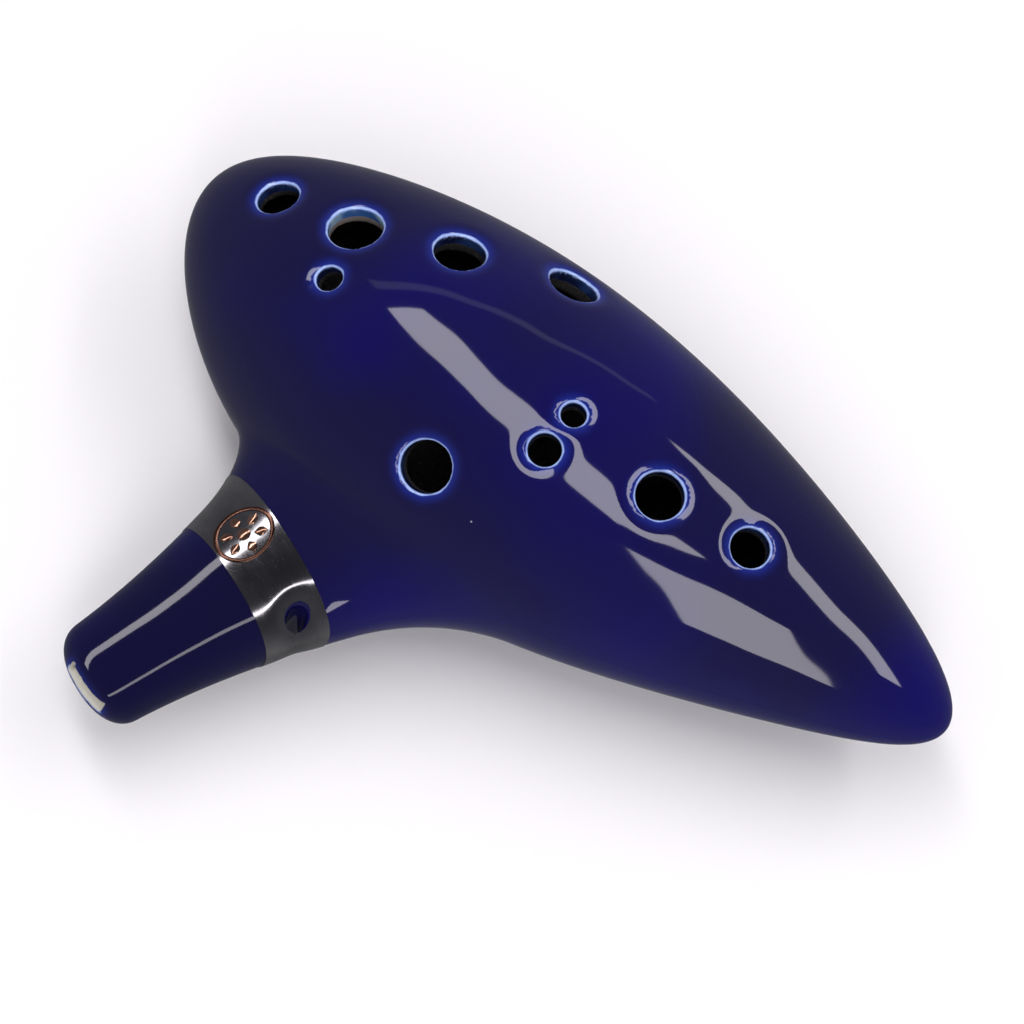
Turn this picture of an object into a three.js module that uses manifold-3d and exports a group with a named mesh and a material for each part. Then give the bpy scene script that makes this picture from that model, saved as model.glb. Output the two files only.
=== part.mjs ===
// A twelve-hole transverse ocarina in glazed ceramic, with a mouthpiece, a metal-lustre band
// round its neck and a printed rosette on the band. Millimetres.
//
// Working frame: +X runs along the chamber from its blunt end to its tail, +Z is up out of the
// finger-hole face, and the mouthpiece points towards -Y. The working origin lies on the
// chamber's axis, halfway along it, and the whole object is lifted at the end so that the
// origin of the part is the middle of the flat that it rests on.
//
// The outside is one smooth field: an egg for the chamber, a flattened flaring beak for the
// mouthpiece, and a blend between them. It is negative inside and zero on the surface.

import * as THREE from 'three';
import { mergeVertices } from 'three/addons/utils/BufferGeometryUtils.js';
import Module from 'manifold-3d';

const wasm = await Module();
wasm.setup();

// ---- chamber -------------------------------------------------------------------------------
const BODY_LENGTH = 170;
const HALF_WIDTHS = [34.2, 37.9, 37.6, 24.2, 20.3]; // Bernstein controls, blunt end to tail
const HALF_HEIGHTS = [25.2, 28.6, 30.3, 20.4, 17.7]; // the same, for half the thickness
const BODY_BOW = 11.7; // how far the axis leans towards the mouthpiece, as a control value
const WALL = 5.0;

// ---- mouthpiece and neck -------------------------------------------------------------------
const BEAK_X = -11.7; // where the beak's axis starts on the chamber's axis
const BEAK_LENGTH = 93.6; // from the chamber's axis to the tip
const BEAK_SLANT = 19; // degrees towards the blunt end
const BEAK_DROOP = 3.6; // degrees towards the back
const TIP_HALF_WIDTH = 10.15;
const TIP_HALF_THICKNESS = 5.3;
const NECK_HALF_WIDTH = 18.85; // halfway along the beak
const NECK_HALF_THICKNESS = 10.05;
const FLARE = 1.68; // power of the widening from tip to neck
const TIP_ROUNDING = 6.2;
const ROOT_START = 20.6; // the beak fades out inside the chamber from here
const ROOT_FADE = 16.5;
const ROUNDNESS = 2.3; // power of the beak's flattened oval section
const BLEND = 0.84; // size of the fillet between chamber and beak

// ---- resting flat --------------------------------------------------------------------------
const FOOT_X = -16;
const FOOT_Y = -7;
const FOOT_DEPTH = 1.5; // how much is ground off the lowest point of the back

// ---- finger holes: along is a share of the chamber's length from the blunt end, across is a
// share of its half width there, measured towards the back of the hand ------------------------
const FINGER_HOLES = [
  { along: 0.095, across: 0.245, bore: 7.8 },
  { along: 0.194, across: 0.325, bore: 10.0 },
  { along: 0.213, across: -0.067, bore: 4.8 },
  { along: 0.301, across: 0.539, bore: 9.4 },
  { along: 0.413, across: 0.783, bore: 9.4 },
  { along: 0.426, across: -0.566, bore: 9.4 },
  { along: 0.516, across: 0.093, bore: 4.5 },
  { along: 0.516, across: -0.163, bore: 5.9 },
  { along: 0.637, across: -0.004, bore: 8.6 },
  { along: 0.74, across: 0.083, bore: 7.1 },
];
const THUMB_HOLES = [
  { along: 0.215, across: 0.0, bore: 9.4 },
  { along: 0.68, across: 0.0, bore: 9.0 },
];
const HOLE_BEVEL = 0.8;

// ---- windway and voicing, in the beak's own frame ------------------------------------------
const WINDWAY_WIDTH = 9.6;
const WINDWAY_HEIGHT = 2.0;
const WINDWAY_SIDE = 1.2; // off the beak's middle, towards the tail
const WINDWAY_MOUTH = 3.0; // height of the slot above the beak's axis at the tip
const WINDWAY_EXIT = -8.2; // height of the windway above the beak's axis at the window
const WINDOW_START = 30; // labium edge, from the chamber's axis
const WINDOW_LENGTH = 6;
const POCKET_ROOF = 4; // the hollow over the window, above the beak's axis
const POCKET_MARGIN = 2.2; // how much wider than the windway it is, each side
const LABIUM_EDGE = 0.5; // thickness of the sharp edge that the air strikes
const LABIUM_LENGTH = 24;
const LABIUM_DROP = 10.7; // fall of its inner face over that length
const RAMP_LENGTH = 20; // of its outer face, seen in the back
const RAMP_DROP = 14.7;

// ---- band, lanyard hole and rosette --------------------------------------------------------
const BAND_START = 51.6; // edge nearer the chamber, along the beak's axis
const BAND_WIDTH = 11.4;
const BAND_LEAN = 22; // degrees, its top leans towards the chamber
const BAND_THICKNESS = 0.45;
const JOINT_FROM_BAND_EDGE = 2.2; // the mouthpiece is luted on under the band
const LANYARD_BORE = 3.6;
const LANYARD_FROM_SIDE = 4.0;
const ROSETTE_MARGIN = 0.3; // from its rim to the band's edges
const ROSETTE_RIM = 0.7;
const ROSETTE_PETALS = 6;
const PETAL_START = 1.7;
const PETAL_TO_RIM = 0.4;
const PETAL_HALF_WIDTH = 0.8;
const ROSETTE_CENTRE_RADIUS = 1.1;
const ROSETTE_THICKNESS = 0.35;
const ROSETTE_SIDE = -5.2; // off the beak's middle, towards the blunt end

// ---- shared --------------------------------------------------------------------------------
const GAP = 0.3; // between pieces that touch
const OUTER_CELL = 4.8; // facet size of the chamber's outside
const BEAK_CELL = 2.6; // facet size of the mouthpiece's outside
const INNER_CELL = 6.4; // facet size of the chamber's inside
const ROUND_SEGMENTS = 20;
const BAND_SEGMENTS = 48;
const BAND_ROWS = 2;
const FAR = 400; // larger than the object, for cutting halves

// ---- colours -------------------------------------------------------------------------------
const GLAZE = { color: 0x14105a, roughness: 0.08, metalness: 0 };
const LUSTRE = { color: 0x5a5a5e, roughness: 0.25, metalness: 1 };
const COPPER = { color: 0xb87a5a, roughness: 0.3, metalness: 1 };

const radians = THREE.MathUtils.degToRad;

// ============================================================================================
// Fields
// ============================================================================================

// A smooth curve from control values at evenly spaced places along 0 to 1.
function bernstein(controls, t) {
  const points = [...controls];
  for (let last = points.length - 1; last > 0; last -= 1) {
    for (let i = 0; i < last; i += 1) {
      points[i] += (points[i + 1] - points[i]) * t;
    }
  }
  return points[0];
}

// The lower of two fields, with a rounded fillet where they are within reach of each other.
function smoothMin(first, second, reach) {
  const overlap = Math.max(reach - Math.abs(first - second), 0) / reach;
  return Math.min(first, second) - (overlap * overlap * reach) / 4;
}

function bodyAxisY(along) {
  return bernstein([0, -BODY_BOW, 0, 0], THREE.MathUtils.clamp(along, 0, 1));
}

// The chamber's egg, made smaller all round by inset.
function eggField(x, y, z, inset) {
  const length = BODY_LENGTH - 2 * inset;
  const along = THREE.MathUtils.clamp((x + length / 2) / length, -0.05, 1.05);
  const place = x / BODY_LENGTH + 0.5;
  const halfWidth = bernstein(HALF_WIDTHS, THREE.MathUtils.clamp(place, 0, 1)) - inset;
  const halfHeight = bernstein(HALF_HEIGHTS, THREE.MathUtils.clamp(place, 0, 1)) - inset;
  const fullness = 4 * along * (1 - along);
  return ((y - bodyAxisY(place)) / halfWidth) ** 2 + (z / halfHeight) ** 2 - fullness;
}

// The beak's own frame: its X points to the tail side, its -Y to the tip, its Z to the front.
const beakFrame = new THREE.Matrix4()
  .makeTranslation(BEAK_X, 0, 0)
  .multiply(new THREE.Matrix4().makeRotationZ(-radians(BEAK_SLANT)))
  .multiply(new THREE.Matrix4().makeRotationX(radians(BEAK_DROOP)));
const beakInverse = beakFrame.clone().invert();

function beakHalfWidth(reach) {
  const taper = THREE.MathUtils.clamp((BEAK_LENGTH - reach) / BEAK_LENGTH, 0.001, 0.85) / 0.5;
  return TIP_HALF_WIDTH + (NECK_HALF_WIDTH - TIP_HALF_WIDTH) * taper ** FLARE;
}

function beakHalfThickness(reach) {
  const taper = THREE.MathUtils.clamp((BEAK_LENGTH - reach) / BEAK_LENGTH, 0.001, 0.85) / 0.5;
  return TIP_HALF_THICKNESS + (NECK_HALF_THICKNESS - TIP_HALF_THICKNESS) * taper ** FLARE;
}

function beakField(x, y, z) {
  const local = new THREE.Vector3(x, y, z).applyMatrix4(beakInverse);
  const reach = -local.y;
  const tip = Math.max(reach - (BEAK_LENGTH - TIP_ROUNDING), 0) / TIP_ROUNDING;
  const root = Math.max(ROOT_START - reach, 0) / ROOT_FADE;
  const side = (Math.abs(local.x) / beakHalfWidth(reach)) ** ROUNDNESS;
  const rise = (Math.abs(local.z) / beakHalfThickness(reach)) ** ROUNDNESS;
  return side + rise + tip ** ROUNDNESS + root * root - 1;
}

const outerField = (x, y, z) => smoothMin(eggField(x, y, z, 0), beakField(x, y, z), BLEND);
const chamberField = (x, y, z) => eggField(x, y, z, WALL);

function gradient(field, point) {
  const step = 0.02;
  const { x, y, z } = point;
  return new THREE.Vector3(
    field(x + step, y, z) - field(x - step, y, z),
    field(x, y + step, z) - field(x, y - step, z),
    field(x, y, z + step) - field(x, y, z - step),
  ).multiplyScalar(0.5 / step);
}

// The place where a straight line from inside the solid meets its surface.
function surfaceAlong(field, start, direction, reach) {
  let inside = 0;
  let outside = reach;
  for (let round = 0; round < 30; round += 1) {
    const middle = (inside + outside) / 2;
    const point = start.clone().addScaledVector(direction, middle);
    if (field(point.x, point.y, point.z) < 0) {
      inside = middle;
    } else {
      outside = middle;
    }
  }
  return start.clone().addScaledVector(direction, outside);
}

// ============================================================================================
// From a field to a closed mesh: one vertex in each grid cell that the surface crosses, one
// quad across each grid edge that it crosses, and every vertex then drawn onto the surface
// ============================================================================================

function sampleGrid(field, low, high, cell) {
  const counts = low.map((value, axis) => Math.ceil((high[axis] - value) / cell) + 1);
  const values = new Float64Array(counts[0] * counts[1] * counts[2]);
  let next = 0;
  for (let i = 0; i < counts[0]; i += 1) {
    for (let j = 0; j < counts[1]; j += 1) {
      for (let k = 0; k < counts[2]; k += 1) {
        values[next] = field(low[0] + i * cell, low[1] + j * cell, low[2] + k * cell);
        next += 1;
      }
    }
  }
  return { counts, values, low, cell };
}

const gridIndex = (grid, i, j, k) => (i * grid.counts[1] + j) * grid.counts[2] + k;

const CORNERS = [0, 1, 2, 3, 4, 5, 6, 7].map((bits) => [bits >> 2, (bits >> 1) & 1, bits & 1]);
const CELL_EDGES = CORNERS.flatMap((corner, from) =>
  [0, 1, 2].filter((axis) => corner[axis] === 0).map((axis) => [from, from + (4 >> axis)]),
);

// The mean of the surface's crossings on one cell's edges, or null where there are none.
function cellVertex(grid, i, j, k) {
  const sum = new THREE.Vector3();
  let crossings = 0;
  for (const [from, to] of CELL_EDGES) {
    const [a, b] = [CORNERS[from], CORNERS[to]];
    const first = grid.values[gridIndex(grid, i + a[0], j + a[1], k + a[2])];
    const second = grid.values[gridIndex(grid, i + b[0], j + b[1], k + b[2])];
    if (first < 0 !== second < 0) {
      const share = first / (first - second);
      sum.x += a[0] + (b[0] - a[0]) * share;
      sum.y += a[1] + (b[1] - a[1]) * share;
      sum.z += a[2] + (b[2] - a[2]) * share;
      crossings += 1;
    }
  }
  if (crossings === 0) {
    return null;
  }
  sum.divideScalar(crossings).add(new THREE.Vector3(i, j, k)).multiplyScalar(grid.cell);
  return sum.add(new THREE.Vector3(...grid.low));
}

function drawOnto(field, point, cell) {
  for (let round = 0; round < 4; round += 1) {
    const slope = gradient(field, point);
    const shift = field(point.x, point.y, point.z) / slope.lengthSq();
    point.addScaledVector(slope, -shift);
    if (Math.abs(shift) * slope.length() > cell) {
      return point;
    }
  }
  return point;
}

function cellVertices(field, grid) {
  const vertices = [];
  const numbers = new Map();
  for (let i = 0; i < grid.counts[0] - 1; i += 1) {
    for (let j = 0; j < grid.counts[1] - 1; j += 1) {
      for (let k = 0; k < grid.counts[2] - 1; k += 1) {
        const vertex = cellVertex(grid, i, j, k);
        if (vertex) {
          numbers.set(gridIndex(grid, i, j, k), vertices.length);
          vertices.push(drawOnto(field, vertex, grid.cell));
        }
      }
    }
  }
  return { vertices, numbers };
}

// The four cells round a grid edge, counter-clockwise seen from the edge's far end.
function quadAround(grid, numbers, place, axis) {
  const [first, second] = [(axis + 1) % 3, (axis + 2) % 3];
  return [[1, 1], [0, 1], [0, 0], [1, 0]].map(([back, down]) => {
    const cell = [...place];
    cell[first] -= back;
    cell[second] -= down;
    return numbers.get(gridIndex(grid, ...cell));
  });
}

function gridQuads(grid, numbers) {
  const quads = [];
  for (let i = 1; i < grid.counts[0] - 1; i += 1) {
    for (let j = 1; j < grid.counts[1] - 1; j += 1) {
      for (let k = 1; k < grid.counts[2] - 1; k += 1) {
        const here = grid.values[gridIndex(grid, i, j, k)] < 0;
        for (let axis = 0; axis < 3; axis += 1) {
          const ahead = [i, j, k];
          ahead[axis] += 1;
          if (here !== grid.values[gridIndex(grid, ...ahead)] < 0) {
            const quad = quadAround(grid, numbers, [i, j, k], axis);
            quads.push(here ? quad : quad.reverse());
          }
        }
      }
    }
  }
  return quads;
}

function splitQuad([a, b, c, d], vertices) {
  const shortFirst = vertices[a].distanceTo(vertices[c]) < vertices[b].distanceTo(vertices[d]);
  return shortFirst ? [a, b, c, a, c, d] : [a, b, d, b, c, d];
}

function solidFromField(field, low, high, cell) {
  const grid = sampleGrid(field, low, high, cell);
  const { vertices, numbers } = cellVertices(field, grid);
  const triangles = gridQuads(grid, numbers).flatMap((quad) => splitQuad(quad, vertices));
  return solidFromArrays(vertices, triangles);
}

// ============================================================================================
// Solids
// ============================================================================================

function solidFromArrays(vertices, triangles) {
  return new wasm.Manifold(new wasm.Mesh({
    numProp: 3,
    vertProperties: new Float32Array(vertices.flatMap((vertex) => vertex.toArray())),
    triVerts: new Uint32Array(triangles),
  }));
}

function solidFromGeometry(geometry) {
  geometry.deleteAttribute('normal');
  geometry.deleteAttribute('uv');
  const merged = mergeVertices(geometry, 1e-4);
  return new wasm.Manifold(new wasm.Mesh({
    numProp: 3,
    vertProperties: new Float32Array(merged.attributes.position.array),
    triVerts: new Uint32Array(merged.index.array),
  }));
}

function geometryFromSolid(solid) {
  const mesh = solid.getMesh();
  const geometry = new THREE.BufferGeometry();
  geometry.setAttribute('position', new THREE.BufferAttribute(mesh.vertProperties, 3));
  geometry.setIndex(new THREE.BufferAttribute(mesh.triVerts, 1));
  return geometry;
}

function box(low, high) {
  const size = low.map((value, axis) => high[axis] - value);
  const geometry = new THREE.BoxGeometry(...size);
  geometry.translate(...low.map((value, axis) => value + size[axis] / 2));
  return geometry;
}

// A round cutter whose axis leaves the surface at point, with a bevel at the rim.
function holeCutter(point, outward, radius, depth) {
  const profile = [
    new THREE.Vector2(0, -depth),
    new THREE.Vector2(radius, -depth),
    new THREE.Vector2(radius, -HOLE_BEVEL),
    new THREE.Vector2(radius + 2 * HOLE_BEVEL, HOLE_BEVEL),
    new THREE.Vector2(radius + 2 * HOLE_BEVEL, WALL),
    new THREE.Vector2(0, WALL),
  ];
  const geometry = new THREE.LatheGeometry(profile, ROUND_SEGMENTS);
  const turn = new THREE.Quaternion().setFromUnitVectors(new THREE.Vector3(0, 1, 0), outward);
  geometry.applyQuaternion(turn);
  geometry.translate(point.x, point.y, point.z);
  return solidFromGeometry(geometry);
}

// Where a hole sits: facing is 1 for the finger-hole face and -1 for the back.
function holePlace({ along, across }, facing) {
  const x = (along - 0.5) * BODY_LENGTH;
  const halfWidth = bernstein(HALF_WIDTHS, along) * Math.sqrt(4 * along * (1 - along));
  const start = new THREE.Vector3(x, bodyAxisY(along) + across * halfWidth, 0);
  const reach = 3 * Math.max(...HALF_HEIGHTS);
  const point = surfaceAlong(outerField, start, new THREE.Vector3(0, 0, facing), reach);
  return { point, outward: gradient(outerField, point).normalize() };
}

function bodyHoles() {
  const cutters = [];
  for (const [holes, facing] of [[FINGER_HOLES, 1], [THUMB_HOLES, -1]]) {
    for (const hole of holes) {
      const { point, outward } = holePlace(hole, facing);
      cutters.push(holeCutter(point, outward, hole.bore / 2, 2.2 * WALL));
    }
  }
  return cutters;
}

// A prism across the beak, from an outline of [reach, height] points in the beak's frame.
function beakPrism(outline, halfWidth) {
  const shape = new THREE.Shape(outline.map(([reach, height]) => new THREE.Vector2(reach, height)));
  const geometry = new THREE.ExtrudeGeometry(shape, { depth: 2 * halfWidth, bevelEnabled: false });
  geometry.translate(0, 0, -halfWidth);
  const toBeak = new THREE.Matrix4().makeBasis(
    new THREE.Vector3(0, -1, 0),
    new THREE.Vector3(0, 0, 1),
    new THREE.Vector3(-1, 0, 0),
  );
  geometry.applyMatrix4(toBeak);
  geometry.translate(WINDWAY_SIDE, 0, 0);
  geometry.applyMatrix4(beakFrame);
  return solidFromGeometry(geometry);
}

const windowEnd = WINDOW_START + WINDOW_LENGTH;
const labiumTop = WINDWAY_EXIT - WINDWAY_HEIGHT / 2;
const belowBack = -2 * Math.max(...HALF_HEIGHTS);
const pocketHalfWidth = WINDWAY_WIDTH / 2 + POCKET_MARGIN;

// The flat passage from the slot at the tip to the window.
function windwayCutter() {
  const slope = (WINDWAY_MOUTH - WINDWAY_EXIT) / (BEAK_LENGTH - windowEnd);
  const heightAt = (reach) => WINDWAY_EXIT + slope * (reach - windowEnd);
  const half = WINDWAY_HEIGHT / 2;
  const [from, to] = [windowEnd - WINDWAY_HEIGHT / 2, BEAK_LENGTH + TIP_ROUNDING];
  return beakPrism([
    [from, heightAt(from) - half],
    [to, heightAt(to) - half],
    [to, heightAt(to) + half],
    [from, heightAt(from) + half],
  ], WINDWAY_WIDTH / 2);
}

// The hollow over the window, which joins it to the chamber.
function pocketCutter() {
  return beakPrism([
    [WINDOW_START / 2, labiumTop],
    [windowEnd, labiumTop],
    [windowEnd, POCKET_ROOF],
    [WINDOW_START / 2, POCKET_ROOF],
  ], pocketHalfWidth);
}

// The clay that is left standing inside the chamber to carry the labium.
function labiumBlock() {
  return beakPrism([
    [WINDOW_START - LABIUM_LENGTH, belowBack],
    [WINDOW_START, belowBack],
    [WINDOW_START, labiumTop],
    [WINDOW_START - LABIUM_LENGTH, labiumTop - LABIUM_DROP],
  ], pocketHalfWidth);
}

// The window itself, and the ramp that rises to the labium's edge from the outside.
function windowCutter() {
  const edge = labiumTop - LABIUM_EDGE;
  return beakPrism([
    [WINDOW_START - RAMP_LENGTH, belowBack],
    [windowEnd, belowBack],
    [windowEnd, WINDWAY_EXIT],
    [WINDOW_START, WINDWAY_EXIT],
    [WINDOW_START, edge],
    [WINDOW_START - RAMP_LENGTH, edge - RAMP_DROP],
  ], WINDWAY_WIDTH / 2);
}

// The band's own frame: like the beak's, but its Z leans with the band.
const bandFrame = beakFrame.clone()
  .multiply(new THREE.Matrix4().makeTranslation(0, -BAND_START, 0))
  .multiply(new THREE.Matrix4().makeRotationX(-radians(BAND_LEAN)));
const bandSpan = BAND_WIDTH * Math.cos(radians(BAND_LEAN));

// The point of the outside at a turn round the band, at a distance from its first edge.
function bandSurface(distance, turn) {
  const start = new THREE.Vector3(0, -distance, 0).applyMatrix4(bandFrame);
  const direction = new THREE.Vector3(Math.cos(turn), 0, Math.sin(turn)).transformDirection(bandFrame);
  const point = surfaceAlong(outerField, start, direction, 2 * NECK_HALF_WIDTH);
  return { point, outward: gradient(outerField, point).normalize() };
}

// A sleeve that follows the outside, from one depth to another, between two distances.
function sleeve(from, to, lowDepth, highDepth) {
  const vertices = [];
  const rowSize = 2 * BAND_SEGMENTS;
  for (let row = 0; row <= BAND_ROWS; row += 1) {
    for (const depth of [lowDepth, highDepth]) {
      for (let step = 0; step < BAND_SEGMENTS; step += 1) {
        const distance = from + ((to - from) * row) / BAND_ROWS;
        const { point, outward } = bandSurface(distance, (step / BAND_SEGMENTS) * 2 * Math.PI);
        vertices.push(point.addScaledVector(outward, depth));
      }
    }
  }
  const triangles = [];
  const quad = (a, b, c, d) => triangles.push(a, b, c, a, c, d);
  for (let step = 0; step < BAND_SEGMENTS; step += 1) {
    const next = (step + 1) % BAND_SEGMENTS;
    const [lowHere, lowNext] = [step, next];
    const [highHere, highNext] = [BAND_SEGMENTS + step, BAND_SEGMENTS + next];
    for (let row = 0; row < BAND_ROWS; row += 1) {
      const [near, far] = [row * rowSize, (row + 1) * rowSize];
      quad(near + highHere, near + highNext, far + highNext, far + highHere);
      quad(near + lowNext, near + lowHere, far + lowHere, far + lowNext);
    }
    const end = BAND_ROWS * rowSize;
    quad(lowHere, lowNext, highNext, highHere);
    quad(end + lowNext, end + lowHere, end + highHere, end + highNext);
  }
  return solidFromArrays(vertices, triangles);
}

const jointDistance = bandSpan - JOINT_FROM_BAND_EDGE;

// The lanyard hole passes through the body's neck, between its end and the band's edge.
function lanyardCutter(clearance) {
  const distance = jointDistance / 2;
  const side = beakHalfWidth(BAND_START + distance) - LANYARD_FROM_SIDE;
  const radius = LANYARD_BORE / 2 + clearance;
  const length = 6 * NECK_HALF_THICKNESS;
  const geometry = new THREE.CylinderGeometry(radius, radius, length, ROUND_SEGMENTS);
  geometry.rotateX(Math.PI / 2);
  geometry.translate(side, -distance, 0);
  geometry.applyMatrix4(bandFrame);
  return solidFromGeometry(geometry);
}

// ============================================================================================
// The ceramic pieces
// ============================================================================================

function outsideSolid(field, cell) {
  const droop = BEAK_LENGTH * Math.sin(radians(BEAK_DROOP)) + TIP_HALF_THICKNESS;
  const height = Math.max(...HALF_HEIGHTS, droop) + 2 * cell;
  const width = Math.max(...HALF_WIDTHS) + 2 * cell;
  const reach = BEAK_LENGTH + 2 * cell;
  const end = BODY_LENGTH / 2 + 2 * cell;
  return solidFromField(field, [-end, -reach, -height], [end, width, height], cell);
}

// The outside again, only from a little inside the band outwards, for a finer mouthpiece.
function beakEndField(x, y, z) {
  const reach = -new THREE.Vector3(x, y, z).applyMatrix4(beakInverse).y;
  return Math.max(outerField(x, y, z), (BAND_START - reach) / BAND_WIDTH);
}

function chamberSolid() {
  const width = Math.max(...HALF_WIDTHS) + BODY_BOW + INNER_CELL;
  const height = Math.max(...HALF_HEIGHTS) + INNER_CELL;
  const end = BODY_LENGTH / 2 + INNER_CELL;
  return solidFromField(chamberField, [-end, -width, -height], [end, width, height], INNER_CELL);
}

// The lowest point of the back, which the resting flat is ground into.
function footHeight() {
  const start = new THREE.Vector3(FOOT_X, FOOT_Y, 0);
  const down = new THREE.Vector3(0, 0, -1);
  return surfaceAlong(outerField, start, down, 3 * Math.max(...HALF_HEIGHTS)).z + FOOT_DEPTH;
}

const without = (solid, cutters) => cutters.reduce((rest, cutter) => rest.subtract(cutter), solid);
const bandGroove = () => sleeve(-GAP, bandSpan + GAP, -BAND_THICKNESS - GAP, WALL);

function bodySolid() {
  const belowFoot = solidFromGeometry(box([-FAR, -FAR, -FAR], [FAR, FAR, footHeight()]));
  const voicing = [pocketCutter(), windowCutter(), windwayCutter()];
  const band = [bandGroove(), lanyardCutter(0)];
  const outside = outsideSolid(outerField, OUTER_CELL).intersect(jointSide(false));
  const hollow = chamberSolid().subtract(labiumBlock());
  return without(outside, [hollow, belowFoot, ...voicing, ...band, ...bodyHoles()]);
}

function mouthpieceSolid() {
  const outside = outsideSolid(beakEndField, BEAK_CELL).intersect(jointSide(true));
  return without(outside, [windwayCutter(), bandGroove()]);
}

// A block that fills one side of the joint between body and mouthpiece.
function jointSide(towardsTip) {
  const low = towardsTip ? -FAR : -jointDistance + GAP / 2;
  const high = towardsTip ? -jointDistance - GAP / 2 : FAR;
  return solidFromGeometry(box([-FAR, low, -FAR], [FAR, high, FAR]).applyMatrix4(bandFrame));
}

function ceramicPieces() {
  const body = bodySolid();
  const front = solidFromGeometry(box([-FAR, -FAR, GAP / 2], [FAR, FAR, FAR]));
  const back = solidFromGeometry(box([-FAR, -FAR, -FAR], [FAR, FAR, -GAP / 2]));
  return {
    front_shell: body.intersect(front),
    back_shell: body.intersect(back),
    mouthpiece: mouthpieceSolid(),
  };
}

// ============================================================================================
// The lustre band and the rosette on it
// ============================================================================================

const bandSolid = () => sleeve(0, bandSpan, -BAND_THICKNESS, 0).subtract(lanyardCutter(GAP));

// A point of the rosette's plane, laid down onto the band's front.
function rosettePoint(across, up, lift) {
  const middle = new THREE.Vector3(ROSETTE_SIDE + across, -bandSpan / 2 - up, 0);
  const start = middle.applyMatrix4(bandFrame);
  const direction = new THREE.Vector3(0, 0, 1).transformDirection(bandFrame);
  const point = surfaceAlong(outerField, start, direction, 4 * NECK_HALF_THICKNESS);
  return point.addScaledVector(gradient(outerField, point).normalize(), lift);
}

// A thin piece of the rosette. outline(u, v) gives [radius, angle]; u runs across the piece and
// v along it, and both run from 0 to 1.
function rosettePiece(outline, columns, rows, closed) {
  const vertices = [];
  const width = closed ? columns : columns + 1;
  for (const lift of [GAP, GAP + ROSETTE_THICKNESS]) {
    for (let row = 0; row <= rows; row += 1) {
      for (let column = 0; column < width; column += 1) {
        const [radius, angle] = outline(row / rows, column / columns);
        const across = radius * Math.cos(angle);
        vertices.push(rosettePoint(across, radius * Math.sin(angle), lift));
      }
    }
  }
  const layer = width * (rows + 1);
  const at = (row, column) => row * width + (column % width);
  const triangles = [];
  const quad = (a, b, c, d) => triangles.push(a, b, c, a, c, d);
  for (let column = 0; column < columns; column += 1) {
    for (let row = 0; row < rows; row += 1) {
      const corners = [at(row, column), at(row + 1, column), at(row + 1, column + 1), at(row, column + 1)];
      quad(...corners.map((corner) => corner + layer));
      quad(...corners.reverse());
    }
    quad(at(0, column), at(0, column) + layer, at(0, column + 1) + layer, at(0, column + 1));
    quad(at(rows, column + 1), at(rows, column + 1) + layer, at(rows, column) + layer, at(rows, column));
  }
  if (!closed) {
    for (let row = 0; row < rows; row += 1) {
      quad(at(row + 1, 0), at(row + 1, 0) + layer, at(row, 0) + layer, at(row, 0));
      quad(at(row, columns), at(row, columns) + layer, at(row + 1, columns) + layer, at(row + 1, columns));
    }
  }
  return solidFromArrays(vertices, triangles);
}

const rosetteRadius = bandSpan / 2 - ROSETTE_MARGIN;

function rosetteRing() {
  const outline = (u, v) => [rosetteRadius - ROSETTE_RIM * u, 2 * Math.PI * v];
  return rosettePiece(outline, 48, 1, true);
}

// An almond-shaped petal, blunt by a hair at both ends so that its outline stays open.
function rosettePetal(number) {
  const middle = (2 * Math.PI * number) / ROSETTE_PETALS;
  const end = rosetteRadius - ROSETTE_RIM - PETAL_TO_RIM;
  const outline = (u, v) => {
    const along = PETAL_START + (end - PETAL_START) * v;
    const side = (2 * u - 1) * PETAL_HALF_WIDTH * (0.12 + 0.88 * Math.sin(Math.PI * v));
    return [Math.hypot(along, side), middle + Math.atan2(side, along)];
  };
  return rosettePiece(outline, 8, 2, false);
}

function rosetteCentre() {
  const geometry = new THREE.CylinderGeometry(1, 1, 1, ROUND_SEGMENTS);
  const places = geometry.attributes.position;
  for (let i = 0; i < places.count; i += 1) {
    const lift = GAP + (places.getY(i) > 0 ? ROSETTE_THICKNESS : 0);
    const [across, up] = [places.getX(i), places.getZ(i)].map((value) => value * ROSETTE_CENTRE_RADIUS);
    places.setXYZ(i, ...rosettePoint(across, up, lift).toArray());
  }
  return solidFromGeometry(geometry);
}

// ============================================================================================
// The object
// ============================================================================================

function namedMesh(name, solid, look) {
  const mesh = new THREE.Mesh(geometryFromSolid(solid), new THREE.MeshStandardMaterial(look));
  mesh.name = name;
  return mesh;
}

const ocarina = new THREE.Group();
for (const [name, solid] of Object.entries(ceramicPieces())) {
  ocarina.add(namedMesh(name, solid, GLAZE));
}
ocarina.add(namedMesh('silver_band', bandSolid(), LUSTRE));
ocarina.add(namedMesh('rosette_ring', rosetteRing(), COPPER));
for (let number = 0; number < ROSETTE_PETALS; number += 1) {
  ocarina.add(namedMesh(`rosette_petal_${number + 1}`, rosettePetal(number), COPPER));
}
ocarina.add(namedMesh('rosette_centre', rosetteCentre(), COPPER));

ocarina.position.set(-FOOT_X, -FOOT_Y, -footHeight());

export default ocarina;
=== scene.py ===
# %% [markdown]
# # A glazed ocarina
# An ocarina is a hollow clay egg that is blown through a side beak. This lesson dresses its
# CAD model: one glaze over three clay pieces, a metal lustre band, and a small rosette.
# Every length below is in millimetres until the last step of each mesh, which turns it into metres.

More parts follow.
